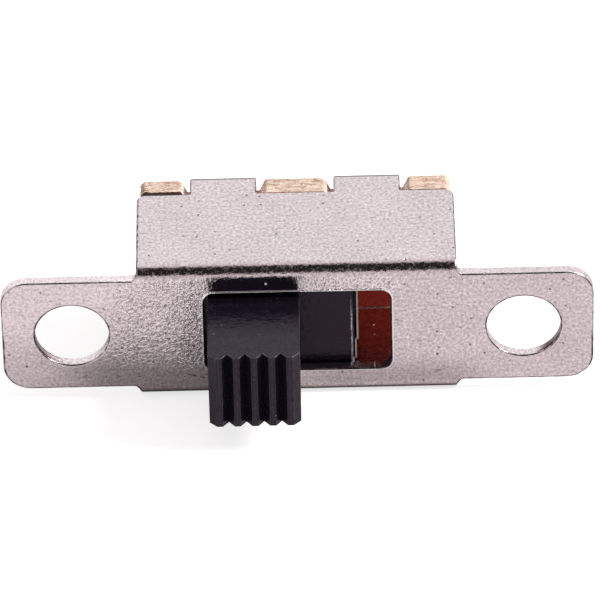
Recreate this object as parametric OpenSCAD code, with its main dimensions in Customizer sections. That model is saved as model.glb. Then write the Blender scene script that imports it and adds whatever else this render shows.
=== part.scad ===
// Miniature two-position slide switch in an eared frame of folded sheet steel.
// X runs along the slide, Y from the front plate towards the solder pins, Z up.
// The origin is midway between the mounting holes, on the plate's front face.
// All lengths are in millimetres.

/* [Frame] */
// Length of the front plate over both ears
plate_l = 19.65; // [18:0.05:26]
// Height of the ears
ear_h = 4.4; // [3.4:0.1:5.3]
// Corner radius of the ears
ear_corner_r = 0.9; // [0.2:0.05:1.6]
// Distance between the two mounting holes
hole_pitch = 15; // [13.4:0.1:16.8]
// Diameter of the mounting holes
hole_d = 2.45; // [1.6:0.05:2.6]
// Thickness of the sheet steel
sheet_t = 0.35; // [0.25:0.05:0.5]
// Inside radius of the folds
fold_r = 0.1; // [0.05:0.05:0.3]
// Width of the folded body, along the slide
body_w = 10.6; // [9.6:0.1:12.2]
// Height of the folded body, over both walls
body_h = 5.3; // [4.6:0.1:7]
// Clear depth from the back of the plate to the terminal board
inner_depth = 3.85; // [3.4:0.05:5]
// Rounding of the walls' back corners
wall_corner_r = 0.3; // [0.05:0.05:0.6]
// Fillet where an ear's edge meets the fold
root_r = 0.23; // [0.05:0.01:0.4]

/* [Window] */
// Room between the knob and each end of the window, at the end of its travel
window_end_gap = 0.2; // [0.05:0.025:0.6]
// Room between the knob and each long side of the window
window_side_gap = 0.21; // [0.05:0.01:0.3]
// Corner radius of the window
window_corner_r = 0.38; // [0.1:0.02:0.8]

/* [Tabs] */
// Width of each tab that is bent over the terminal board
tab_w = 2.23; // [1.4:0.01:2.7]
// Distance from the middle of the frame to a tab's centre line
tab_x = 2.4; // [2.2:0.05:3]
// Length of a tab down the board's back, past its fold
tab_reach = 0.85; // [0.5:0.05:1.2]
// Corner radius of a tab's free end
tab_corner_r = 0.3; // [0.05:0.05:0.5]

/* [Terminal board] */
// Thickness of the terminal board
board_t = 0.8; // [0.6:0.05:1.6]
// Distance from each end of the board to the walls' end
board_end_gap = 0.1; // [0:0.05:0.4]
// Chamfer on the board's four corners
board_chamfer = 0.15; // [0.05:0.05:0.4]
// Room beside a tab at the root of its notch
notch_gap = 0.075; // [0.03:0.005:0.15]
// Widening of a notch on each side, from its root to its mouth
notch_flare = 0.2; // [0:0.05:0.4]

/* [Terminals] */
// Distance between neighbouring terminals
pin_pitch = 3; // [2.6:0.1:3.6]
// Width of a solder pin
pin_w = 1; // [0.8:0.05:1.2]
// Thickness of a terminal
pin_t = 0.4; // [0.3:0.05:0.6]
// Length of a solder pin, from the back of the board to its tip
pin_l = 3.2; // [2:0.1:8]
// Length of the taper at a pin's tip
pin_taper_l = 0.4; // [0.1:0.05:0.8]
// Width of a pin at its very tip
pin_tip_w = 0.5; // [0.2:0.05:0.7]
// Width of the contact blade inside the frame
blade_w = 1.5; // [1.3:0.05:1.8]
// Length of the contact blade, from the board's front face
blade_l = 1.35; // [1:0.05:1.6]
// Chamfer on the blade's two corners
blade_chamfer = 0.25; // [0.05:0.05:0.5]
// How far the staking stands out on each side of a pin
stake_out = 0.12; // [0.05:0.01:0.25]
// Height of the staking above the back of the board
stake_h = 0.25; // [0.1:0.05:0.4]
// Room around a terminal in its slot in the board
slot_gap = 0.02; // [0.01:0.01:0.1]

/* [Slider] */
// Travel of the slider from one detent to the other
travel = 2.9; // [2.4:0.1:3.1]
// Length of the carrier block behind the plate
slider_l = 6.65; // [6:0.05:7.2]
// Running gap between the slider and the back of the plate
front_gap = 0.05; // [0.02:0.01:0.15]
// Running gap between the slider and each wall
wall_gap = 0.1; // [0.03:0.01:0.2]
// Running gap between the slider and the terminal board
board_gap = 0.1; // [0.03:0.01:0.3]
// Chamfer on the two front corners at the carrier's ends
carrier_chamfer = 0.12; // [0.05:0.01:0.3]
// Depth of the carrier's solid front, before the clip's pocket
face_depth = 0.95; // [0.6:0.05:1.2]
// Room in the carrier in front of the blades' tips
blade_room = 0.25; // [0.1:0.05:0.5]

/* [Knob] */
// Width of the knob, along the slide
knob_w = 2.95; // [2.4:0.05:3.2]
// Height of the knob
knob_h = 2.85; // [2:0.05:3]
// How far the knob stands out from the plate's front face
knob_out = 3.25; // [1.5:0.05:8]
// Number of grip ribs across the knob's tip
rib_count = 5; // [3:1:8]
// Depth of the grooves between the ribs
rib_depth = 0.24; // [0.1:0.02:0.4]
// Width of a rib's flat crest
rib_crest = 0.2; // [0.05:0.01:0.3]

/* [Contact clip] */
// How far the clip reaches past the centre lines of the two blades that it bridges
clip_overlap = 0.7; // [0.5:0.05:0.8]
// Thickness of the clip's strip
clip_t = 0.18; // [0.1:0.01:0.2]
// Height of the clip at its closed end
clip_h = 1.2; // [1:0.05:1.6]
// Distance from a blade's tip to the line where the legs pinch it
pinch_depth = 0.4; // [0.2:0.05:0.6]
// Length of the flared lips, past the pinch
lip_l = 0.35; // [0.2:0.05:0.5]
// Height by which each lip flares
lip_rise = 0.16; // [0.05:0.01:0.25]
// Running gap between a leg and the blade that it pinches
contact_gap = 0.02; // [0.01:0.01:0.05]
// Room around the clip in the carrier's pocket
pocket_gap = 0.05; // [0.02:0.01:0.1]

/* [Hidden] */
$fn = 48;

// Cutters run this far past the faces that they cut
past = 0.5;

// Folds: outside radius, and the height of a fold's centre line
fold_out = fold_r + sheet_t;
fold_z = body_h / 2 - fold_out;

// Stations along Y
board_y = sheet_t + inner_depth;
board_back_y = board_y + board_t;
blade_tip_y = board_y - blade_l;
pin_end_y = board_back_y + pin_l;
slider_front_y = sheet_t + front_gap;
slider_back_y = board_y - board_gap;
pocket_y = slider_front_y + face_depth;
knob_base_y = rib_depth - knob_out;
channel_y = blade_tip_y - blade_room;

// Window, sized to pass the knob over its whole travel
window_w = knob_w + travel + 2 * window_end_gap;
window_h = knob_h + 2 * window_side_gap;

// Slider at rest in its left-hand detent
slider_x = -travel / 2;
slider_h = body_h - 2 * (sheet_t + wall_gap);
rib_pitch = knob_w / rib_count;

// Clip: its length, and its upper leg's centre line as points in Y and Z
clip_l = pin_pitch + 2 * clip_overlap;
clip_web = [pocket_y + clip_t / 2, clip_h / 2 - clip_t / 2];
clip_pinch = [blade_tip_y + pinch_depth, pin_t / 2 + contact_gap + clip_t / 2];
clip_lip = clip_pinch + [lip_l, lip_rise];

// Height of the carrier's pocket and channel, which the whole clip fits into
pocket_h = max(clip_h, 2 * clip_lip[1] + clip_t) + 2 * pocket_gap;

// ---- helpers ----

// Draws a shape and its mirror image across the middle of the switch
module both_ends() {
    children();
    mirror([1, 0, 0]) children();
}

// Draws a shape for the upper wall and its mirror image for the lower one
module both_walls() {
    children();
    mirror([0, 0, 1]) children();
}

// Stands a flat outline upright in X and Z, from y to y + t
module upright(y, t) {
    translate([0, y + t, 0]) rotate([90, 0, 0]) linear_extrude(t) children();
}

// Runs a section drawn in Y and Z along X, centred, for a length of w
module along_x(w) {
    rotate([90, 0, 90]) linear_extrude(w, center = true) children();
}

// Rectangle with round corners, centred
module rounded_rect(w, h, r) {
    square([w - 2 * r, h], center = true);
    square([w, h - 2 * r], center = true);
    for (x = [-1, 1], y = [-1, 1]) translate([x * (w / 2 - r), y * (h / 2 - r)]) circle(r);
}

// Strip whose two far corners are round: from y = 0 to y = d, centred in X
module round_ended(w, d, r) {
    translate([-w / 2, 0]) square([w, d - r]);
    translate([r - w / 2, 0]) square([w - 2 * r, d]);
    for (x = [-1, 1]) translate([x * (w / 2 - r), d - r]) circle(r);
}

// Quarter fold of the sheet about the X axis, from facing up to facing back
module fold(w) {
    rotate([90, 0, 90]) rotate_extrude(angle = 90) translate([fold_r, -w / 2]) square([sheet_t, w]);
}

// Bent strip of thickness t along a list of points, with round bends
module bent_strip(points, t) {
    for (i = [1 : len(points) - 1]) {
        run = points[i] - points[i - 1];
        translate(points[i - 1]) rotate(atan2(run[1], run[0])) {
            translate([0, -t / 2]) square([norm(run), t]);
            if (i > 1) circle(t / 2);
        }
    }
}

// ---- frame ----

// Solid outer form of the folded channel, for trimming what meets a fold
module channel_form(w) {
    along_x(w) {
        translate([0, -fold_z]) square([board_y, 2 * fold_z]);
        translate([fold_out, -body_h / 2]) square([board_y - fold_out, body_h]);
        for (z = [-1, 1]) translate([fold_out, z * fold_z]) circle(fold_out);
    }
}

// Front plate with its two ears
module plate() {
    upright(0, sheet_t) {
        difference() {
            rounded_rect(plate_l, ear_h, ear_corner_r);
            square([body_w, ear_h + past], center = true);
        }
        square([body_w, 2 * fold_z], center = true);
    }
}

// Small fillet between an ear's edge and the side of the fold
module root_fillet() {
    intersection() {
        translate([body_w / 2, 0, ear_h / 2]) upright(0, sheet_t) difference() {
            square(root_r);
            translate([root_r, root_r]) circle(root_r);
        }
        channel_form(body_w + 4 * root_r);
    }
}

// Upper wall with the fold that joins it to the plate
module wall() {
    translate([0, fold_out, fold_z]) mirror([0, 1, 0]) fold(body_w);
    translate([0, fold_out, body_h / 2 - sheet_t]) linear_extrude(sheet_t)
        round_ended(body_w, board_y - fold_out, wall_corner_r);
}

// Tab of the upper wall, bent down over the back of the terminal board
module tab() {
    bend_y = board_back_y - fold_r;
    translate([tab_x, 0, 0]) {
        translate([-tab_w / 2, board_y - wall_corner_r, body_h / 2 - sheet_t])
            cube([tab_w, bend_y - board_y + wall_corner_r, sheet_t]);
        translate([0, bend_y, fold_z]) fold(tab_w);
        translate([0, 0, fold_z]) mirror([0, 0, 1]) upright(board_back_y, sheet_t)
            round_ended(tab_w, tab_reach, tab_corner_r);
    }
}

// Folded steel frame: plate, ears, two walls and four tabs in one piece
module frame() {
    color([0.78, 0.74, 0.74]) difference() {
        union() {
            plate();
            both_walls() {
                wall();
                both_ends() {
                    root_fillet();
                    tab();
                }
            }
        }
        upright(-past, sheet_t + 2 * past) rounded_rect(window_w, window_h, window_corner_r);
        both_ends() translate([hole_pitch / 2, -past, 0]) rotate([-90, 0, 0])
            cylinder(d = hole_d, h = sheet_t + 2 * past);
    }
}

// ---- terminal board ----

// Notch in the board's upper edge that lets a tab through
module notch() {
    root = tab_w / 2 + notch_gap;
    mouth = root + notch_flare * (1 + past / fold_out);
    translate([tab_x, fold_z])
        polygon([[-root, 0], [root, 0], [mouth, fold_out + past], [-mouth, fold_out + past]]);
}

// Board outline with chamfered corners
module board_outline() {
    x = body_w / 2 - board_end_gap;
    z = body_h / 2;
    c = board_chamfer;
    polygon([[c - x, -z], [x - c, -z], [x, c - z], [x, z - c],
             [x - c, z], [c - x, z], [-x, z - c], [-x, c - z]]);
}

// Laminate board that closes the frame and carries the terminals
module terminal_board() {
    color([0.42, 0.16, 0.1]) upright(board_y, board_t) difference() {
        board_outline();
        for (x = [0, 1], y = [0, 1]) mirror([x, 0]) mirror([0, y]) notch();
        for (i = [-1 : 1]) translate([i * pin_pitch, 0])
            square([pin_w + 2 * slot_gap, pin_t + 2 * slot_gap], center = true);
    }
}

// ---- terminals ----

// Flat terminal at x: blade inside, shoulders on the board, staking and pin outside
module terminal(x) {
    half = [
        [blade_w / 2 - blade_chamfer, blade_tip_y],
        [blade_w / 2, blade_tip_y + blade_chamfer],
        [blade_w / 2, board_y],
        [pin_w / 2, board_y],
        [pin_w / 2, board_back_y],
        [pin_w / 2 + stake_out, board_back_y],
        [pin_w / 2, board_back_y + stake_h],
        [pin_w / 2, pin_end_y - pin_taper_l],
        [pin_tip_w / 2, pin_end_y]
    ];
    last = len(half) - 1;
    color([0.84, 0.83, 0.8]) translate([x, 0, 0]) linear_extrude(pin_t, center = true)
        polygon([each half, for (i = [last : -1 : 0]) [-half[i][0], half[i][1]]]);
}

// Terminal that the slider connects in its left-hand position
module terminal_left() {
    terminal(-pin_pitch);
}

// Common terminal in the middle
module terminal_common() {
    terminal(0);
}

// Terminal that the slider connects in its right-hand position
module terminal_right() {
    terminal(pin_pitch);
}

// ---- slider ----

// Outline of the grip ribs in X and Y, on the knob's tip
module rib_outline() {
    polygon([
        for (i = [0 : rib_count - 1]) let (x = (i + 0.5) * rib_pitch - knob_w / 2) each [
            [x - rib_pitch / 2, knob_base_y],
            [x - rib_crest / 2, -knob_out],
            [x + rib_crest / 2, -knob_out]
        ],
        [knob_w / 2, knob_base_y],
        [knob_w / 2, knob_base_y + rib_depth],
        [-knob_w / 2, knob_base_y + rib_depth]
    ]);
}

// Outline of the carrier block in X and Y
module carrier_outline() {
    x = slider_l / 2;
    c = carrier_chamfer;
    polygon([[c - x, slider_front_y], [x - c, slider_front_y], [x, slider_front_y + c],
             [x, slider_back_y], [-x, slider_back_y], [-x, slider_front_y + c]]);
}

// Moulded slider: ribbed knob in front of the plate, carrier block behind it
module slider() {
    color([0.1, 0.09, 0.11]) translate([slider_x, 0, 0]) difference() {
        union() {
            linear_extrude(slider_h, center = true) carrier_outline();
            translate([-knob_w / 2, knob_base_y, -knob_h / 2])
                cube([knob_w, pocket_y - knob_base_y, knob_h]);
            linear_extrude(knob_h, center = true) rib_outline();
        }
        translate([-clip_l / 2 - pocket_gap, pocket_y, -pocket_h / 2])
            cube([clip_l + 2 * pocket_gap, slider_back_y - pocket_y + past, pocket_h]);
        translate([-slider_l / 2 - past, channel_y, -pocket_h / 2])
            cube([slider_l + 2 * past, slider_back_y - channel_y + past, pocket_h]);
    }
}

// ---- contact clip ----

// Spring clip that rides in the slider and bridges two neighbouring blades
module contact_clip() {
    upper = [clip_web, clip_pinch, clip_lip];
    color([0.87, 0.85, 0.8]) translate([slider_x, 0, 0]) along_x(clip_l)
        bent_strip([for (i = [2 : -1 : 0]) [upper[i][0], -upper[i][1]], each upper], clip_t);
}

frame();
terminal_board();
terminal_left();
terminal_common();
terminal_right();
slider();
contact_clip();
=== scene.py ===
# %% [markdown]
# # A miniature slide switch
#
# The switch is a folded steel frame with two ears, closed at the back by a
# laminate board that carries three flat terminals. A black moulded slider runs
# inside it, and its ribbed knob comes out through a window in the plate.
#
# The fixed frame below holds each part's true place, in metres: X along the
# slide, Y from the plate towards the solder pins, Z up. Everything here is
# built around it, one finish and one piece at a time.

# %% Load the fixed frame
import math

import bmesh
import bpy
import numpy as np
from mathutils import Matrix, Vector, noise
from mathutils.geometry import delaunay_2d_cdt


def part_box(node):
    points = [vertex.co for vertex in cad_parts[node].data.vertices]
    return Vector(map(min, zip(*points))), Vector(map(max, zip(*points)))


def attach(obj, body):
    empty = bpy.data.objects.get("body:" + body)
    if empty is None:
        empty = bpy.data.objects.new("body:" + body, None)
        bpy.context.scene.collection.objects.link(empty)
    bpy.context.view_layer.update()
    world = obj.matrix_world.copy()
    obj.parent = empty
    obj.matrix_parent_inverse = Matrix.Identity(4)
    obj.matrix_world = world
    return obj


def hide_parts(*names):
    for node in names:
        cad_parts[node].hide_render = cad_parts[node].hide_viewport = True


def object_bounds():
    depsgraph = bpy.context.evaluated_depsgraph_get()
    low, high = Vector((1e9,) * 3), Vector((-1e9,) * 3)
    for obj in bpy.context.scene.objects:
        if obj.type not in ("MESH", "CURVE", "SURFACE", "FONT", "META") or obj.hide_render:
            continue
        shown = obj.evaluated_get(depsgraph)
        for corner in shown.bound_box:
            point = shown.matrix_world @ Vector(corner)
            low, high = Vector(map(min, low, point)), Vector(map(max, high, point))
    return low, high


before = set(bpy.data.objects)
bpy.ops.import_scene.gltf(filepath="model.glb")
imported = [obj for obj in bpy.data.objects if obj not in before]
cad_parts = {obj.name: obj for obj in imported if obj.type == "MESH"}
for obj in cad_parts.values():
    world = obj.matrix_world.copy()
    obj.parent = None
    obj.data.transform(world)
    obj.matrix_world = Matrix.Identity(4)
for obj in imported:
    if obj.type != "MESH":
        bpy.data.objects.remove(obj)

cad_box = [list(corner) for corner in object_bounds()]
scene = bpy.context.scene

# %% [markdown]
# ## Measuring in millimetres
#
# The switch is only 20 mm long, so sizes are easier to read in millimetres.
# Positions come from the boxes of the fixed parts, and the few sizes that a box
# can't give, such as the sheet's thickness, are stated where they are used.

# %% Millimetres and boxes
MM = 0.001


def box_mm(node):
    """Lowest and highest corner of a fixed part, in millimetres."""
    low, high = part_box(node)
    return np.array(low) / MM, np.array(high) / MM


def print_size(thing):
    """Prints how far an object reaches along each axis."""
    print(thing.name, "spans", [round(v / MM, 3) for v in thing.dimensions], "mm")


frame_lo, frame_hi = box_mm("frame")
board_lo, board_hi = box_mm("terminal_board")
slider_lo, slider_hi = box_mm("slider")
print("frame's box is", frame_lo.round(3), "to", frame_hi.round(3), "mm")

# %% [markdown]
# ## Camera
#
# A switch this small is shown from well above and almost straight in front,
# from far away with a long lens, so that its edges stay nearly parallel. A new
# camera looks straight down. Three plain rotations, read from the right, turn
# it: it leans by a degree or so, as one held over a bench does, tips up to face
# the front, and swings round. The third column of the result is the way back.

# %% Place the camera
ELEVATION = math.radians(37.3155)
AZIMUTH = math.radians(0.2731)
LEAN = math.radians(1.4346)
DISTANCE = 238.04
TARGET = Vector((0.0983, 0.0, 1.2926))
FOCAL_LENGTH, SENSOR = 431.8, 36.0


def add(name, data):
    """Puts a new object of some data in the scene."""
    thing = bpy.data.objects.new(name, data)
    scene.collection.objects.link(thing)
    return thing


turn = (Matrix.Rotation(AZIMUTH, 3, "Z") @ Matrix.Rotation(math.pi / 2 - ELEVATION, 3, "X")
        @ Matrix.Rotation(-LEAN, 3, "Z"))
lens = bpy.data.cameras.new("camera")
lens.lens, lens.sensor_width = FOCAL_LENGTH, SENSOR
lens.clip_start, lens.clip_end = 0.01, 5.0
camera = add("camera", lens)
camera.matrix_world = (Matrix.Translation((TARGET + turn.col[2] * DISTANCE) * MM)
                       @ turn.to_4x4())
scene.camera = camera
scene.view_settings.view_transform = "Standard"
print("camera stands at", [round(v / MM, 1) for v in camera.matrix_world.translation], "mm")

# %% [markdown]
# ## Node trees written as arithmetic
#
# A material is a graph of small nodes. Drawing dozens of Math nodes by hand
# hides the sum they make, so one small class wraps a socket and turns Python's
# operators into nodes. It looks at the socket first: plain values go through
# Math, while colours and vectors go through Vector Math, which keeps all three
# channels. Every other node comes from one method, `Graph.node`, and the few
# kinds that are used again and again have a short name of their own.

# %% A socket that does arithmetic
class Wire:
    """A node's output, for use in Python expressions."""

    def __init__(self, graph, socket):
        self.graph, self.socket = graph, socket

    def join(self, operation, left, right):
        sides = (left, right)
        plain = ("VALUE", "INT", "BOOLEAN")
        if all(s.socket.type in plain for s in sides if isinstance(s, Wire)):
            return self.graph.math(operation, left, right)
        values = {0: left, 1: right}
        if operation == "MULTIPLY" and not all(isinstance(s, (Wire, tuple)) for s in sides):
            vector, number = sides if isinstance(left, Wire) else (right, left)
            operation, values = "SCALE", {0: vector, 3: number}
        return self.graph.node("ShaderNodeVectorMath", {"operation": operation}, values)

    def __add__(self, other): return self.join("ADD", self, other)
    def __radd__(self, other): return self.join("ADD", other, self)
    def __sub__(self, other): return self.join("SUBTRACT", self, other)
    def __rsub__(self, other): return self.join("SUBTRACT", other, self)
    def __mul__(self, other): return self.join("MULTIPLY", self, other)
    def __rmul__(self, other): return self.join("MULTIPLY", other, self)
    def __truediv__(self, other): return self.join("DIVIDE", self, other)
    def __gt__(self, other): return self.join("GREATER_THAN", self, other)
    def __lt__(self, other): return self.join("LESS_THAN", self, other)
    def __abs__(self): return self.graph.math("ABSOLUTE", self)

    def low(self, other): return self.join("MINIMUM", self, other)
    def high(self, other): return self.join("MAXIMUM", self, other)


class Graph:
    """A node tree and the one method that adds nodes to it."""

    def __init__(self, tree):
        self.tree = tree

    def node(self, kind, settings=None, values=None, out=0):
        """Adds a node: its settings first, then its sockets' values or links."""
        made = self.tree.nodes.new(kind)
        for name, value in (settings or {}).items():
            setattr(made, name, value)
        for name, value in (values or {}).items():
            socket = made.inputs[name]
            if isinstance(value, Wire):
                self.tree.links.new(value.socket, socket)
            else:
                socket.default_value = value
        return Wire(self, made.outputs[out]) if len(made.outputs) else None

    def math(self, operation, *values):
        return self.node("ShaderNodeMath", {"operation": operation}, dict(enumerate(values)))

    def step(self, value, start, end):
        """Smooth step of a value, from 0 at start to 1 at end."""
        return self.node("ShaderNodeMapRange", {"interpolation_type": "SMOOTHSTEP"},
                         {"Value": value, "From Min": start, "From Max": end})

    def band(self, value, start, full, fade, end):
        """1 between full and fade, going smoothly down to 0 at start and at end."""
        return self.step(value, start, full) * (1 - self.step(value, fade, end))

    def mix(self, amount, first, second):
        """Mixes two colours."""
        return self.node("ShaderNodeMix", {"data_type": "RGBA"},
                         {0: amount, 6: first, 7: second}, out=2)

    def noise(self, place, scale, detail=2.0, roughness=0.5, stretch=None):
        """Noise in cells per millimetre, stretched along the axes if asked."""
        if stretch:
            place = place * stretch
        return self.node("ShaderNodeTexNoise", None,
                         {"Vector": place, "Scale": scale, "Detail": detail,
                          "Roughness": roughness})

    def split(self, vector):
        """The three parts of a vector."""
        first = self.node("ShaderNodeSeparateXYZ", None, {0: vector})
        return [Wire(self, s) for s in first.socket.node.outputs]

    def vector(self, x, y, z):
        return self.node("ShaderNodeCombineXYZ", None, {0: x, 1: y, 2: z})


def material(name):
    """An empty material and its graph."""
    made = bpy.data.materials.new(name)
    made.use_nodes = True
    made.node_tree.nodes.clear()
    return made, Graph(made.node_tree)


# %% [markdown]
# ## A plain studio
#
# The switch lies on a pale table in a soft white room. Bright metal is only as
# good as what it reflects, so the room is white for reflections as well as for
# the camera, apart from one long dark wedge above the front: the unlit side
# behind the camera. It is what draws the dark line along every fold and rolled
# edge. The table glows a little, but for the camera alone, so that the metal
# still mirrors a greyer table below it. A large lamp on the right gives the
# shadows a direction.

# %% The table
TABLE_HALF, GLOW = 0.6, 0.69
table_z = cad_box[0][2]
table_mesh = bpy.data.meshes.new("table")
table_mesh.from_pydata([(x * TABLE_HALF, y * TABLE_HALF, table_z)
                        for x, y in ((-1, -1), (1, -1), (1, 1), (-1, 1))], [], [(0, 1, 2, 3)])
add("table", table_mesh)
table_white, g = material("table_white")


def rays(graph):
    """1 where the camera looks, and 1 where a reflection or a refraction does."""
    path = graph.node("ShaderNodeLightPath").socket.node.outputs
    seen, glossy, passed = (Wire(graph, path[name]) for name in
                            ("Is Camera Ray", "Is Glossy Ray", "Is Transmission Ray"))
    return seen, glossy.high(passed)


seen, _ = rays(g)
paper = g.node("ShaderNodeBsdfDiffuse", None, {"Color": (0.80, 0.765, 0.765, 1)})
glow = g.node("ShaderNodeEmission", None, {"Strength": seen * GLOW})
lit = g.node("ShaderNodeAddShader", None, {0: paper, 1: glow})
g.node("ShaderNodeOutputMaterial", None, {"Surface": lit})
table_mesh.materials.append(table_white)
print("table is", 2 * TABLE_HALF, "m square, at", round(table_z / MM, 3), "mm")

# %% The room
world = bpy.data.worlds.new("room")
world.use_nodes = True
world.node_tree.nodes.clear()
scene.world = world
g = Graph(world.node_tree)
ROOM_LIGHT, WEDGE_DARK = 0.42, 0.035
WEDGE_FROM, WEDGE_TO = 12.0, 82.0

x, y, z = g.split(g.node("ShaderNodeTexCoord"))
climb = g.math("ARCTAN2", z, 0 - y) * (180 / math.pi)
wedge = (g.band(climb, WEDGE_FROM - 3, WEDGE_FROM + 3, WEDGE_TO - 5, WEDGE_TO + 9)
         * (1 - g.step(abs(x), 0.35, 0.5)))
white = g.mix(wedge, (1, 1, 1, 1), (WEDGE_DARK,) * 3 + (1,))
seen, reflected = rays(g)
colour = g.mix(reflected, (ROOM_LIGHT,) * 3 + (1,), white)
colour = g.mix(seen, colour, (1, 1, 1, 1))
backdrop = g.node("ShaderNodeBackground", None, {"Color": colour, "Strength": 1.0})
g.node("ShaderNodeOutputWorld", None, {"Surface": backdrop})
print("room's dark wedge climbs from", WEDGE_FROM, "to", WEDGE_TO, "degrees")

# %% The lamp
LAMP_PLACE, LAMP_SIZE, LAMP_WATTS = Vector((0.43, -0.02, 0.34)), 0.24, 3.2
lamp_data = bpy.data.lights.new("lamp", "AREA")
lamp_data.shape, lamp_data.size, lamp_data.energy = "DISK", LAMP_SIZE, LAMP_WATTS
lamp = add("lamp", lamp_data)
lamp.location = LAMP_PLACE
lamp.rotation_euler = (-LAMP_PLACE).to_track_quat("-Z", "Y").to_euler()
print("lamp at", [round(v, 3) for v in LAMP_PLACE], "m,", LAMP_WATTS, "W")

# %% [markdown]
# ## How pressed parts are drawn
#
# The frame, the board and the terminals are all cut from flat stock, so they
# share one way of being made. An outline is drawn with round corners. Each cut
# edge then gets the section that a press leaves: the face rolls over into the
# cut, the cut is smooth at first and torn further in, and it ends in a small
# burr. A Bevel modifier would round every edge alike, so the section is a short
# list of stations instead, each set in from the outline and down from the face,
# and the rings between the faces follow it. The faces themselves are filled
# with a fine grid, so that the sheet can be bent afterwards.

# %% Outlines
def unit(vectors):
    """Vectors brought to a length of one."""
    return vectors / np.linalg.norm(vectors, axis=-1, keepdims=True)


def round_corners(corners, columns=(), rows=(), turn=12.0):
    """Rounds a polygon of (u, v, radius) corners. Its level and upright runs are cut
    where the grid's lines cross them."""
    arcs = []
    for i, (u, v, radius) in enumerate(corners):
        here = np.array((u, v), float)
        before = unit(here - np.array(corners[i - 1][:2]))
        after = unit(np.array(corners[(i + 1) % len(corners)][:2]) - here)
        angle = math.atan2(before[0] * after[1] - before[1] * after[0], before @ after)
        if radius == 0:
            arcs.append([here])
            continue
        start = here - before * radius * abs(math.tan(angle / 2))
        centre = start + np.array((-before[1], before[0])) * math.copysign(radius, angle)
        count = max(2, math.ceil(abs(math.degrees(angle)) / turn))
        arm = complex(*(start - centre))
        swings = [arm * np.exp(1j * angle * k / count) for k in range(count + 1)]
        arcs.append([centre + np.array((swing.real, swing.imag)) for swing in swings])
    points = []
    for i, arc in enumerate(arcs):
        points += arc
        first = arc[-1]
        run = arcs[(i + 1) % len(arcs)][0] - first
        for axis, stations in ((0, columns), (1, rows)):
            if abs(run[1 - axis]) < 1e-9 and abs(run[axis]) > 1e-9:
                share = (np.array(stations) - first[axis]) / run[axis]
                keep = (share * abs(run[axis]) > 0.012) & ((1 - share) * abs(run[axis]) > 0.012)
                points += [first + run * t for t in sorted(share[keep])]
    return np.array(points)


def rectangle(u, v, half_w, half_h, radius):
    """Corners of an oblong hole, clockwise, as every hole is: the metal is on its left."""
    return [(u + a * half_w, v + b * half_h, radius)
            for a, b in ((1, 1), (1, -1), (-1, -1), (-1, 1))]


def round_hole(u, v, radius, count=72):
    """A circle, clockwise too."""
    turns = -np.arange(count) * 2 * math.pi / count
    return np.stack([u + radius * np.cos(turns), v + radius * np.sin(turns)], 1)


def inward(points):
    """Normals of a closed outline, into the material, made longer at its corners."""
    ahead = unit(np.roll(points, -1, 0) - points)
    behind = unit(points - np.roll(points, 1, 0))
    way = unit(ahead + behind)
    normal = np.stack([-way[:, 1], way[:, 0]], 1)
    return normal / np.clip((ahead * way).sum(1), 0.5, 1)[:, None]


# %% Filling a face
def inside(points, outlines):
    """Which points lie in the material between closed outlines."""
    u, v = points.T
    odd = np.zeros(len(points), bool)
    for ring in outlines:
        for (u0, v0), (u1, v1) in zip(ring, np.roll(ring, -1, 0)):
            if v0 != v1:
                crossed = (v0 > v) != (v1 > v)
                odd ^= crossed & (u < (u1 - u0) * (v - v0) / (v1 - v0) + u0)
    return odd


def clearance(points, outlines):
    """Distance from each point to the nearest outline."""
    nearest = np.full(len(points), 1e9)
    for ring in outlines:
        for start, end in zip(ring, np.roll(ring, -1, 0)):
            run = end - start
            t = np.clip(((points - start) @ run) / max(run @ run, 1e-12), 0, 1)
            off = points - start - t[:, None] * run
            nearest = np.minimum(nearest, np.linalg.norm(off, axis=1))
    return nearest


def fill(outlines, grid, gap):
    """Triangles over a face: its outlines' points first, then the grid's points inside it."""
    rim = np.concatenate(outlines)
    grid = grid[inside(grid, outlines)]
    grid = grid[clearance(grid, outlines) > gap]
    edges, start = [], 0
    for ring in outlines:
        count = len(ring)
        edges += [(start + i, start + (i + 1) % count) for i in range(count)]
        start += count
    points = np.concatenate([rim, grid])
    _, _, faces, source, _, _ = delaunay_2d_cdt([Vector(p) for p in points], edges, [], 0, 1e-7)
    faces = np.array([[source[i][0] for i in face] for face in faces])
    faces = faces[inside(points[faces].mean(1), outlines)]
    return grid, faces


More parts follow.
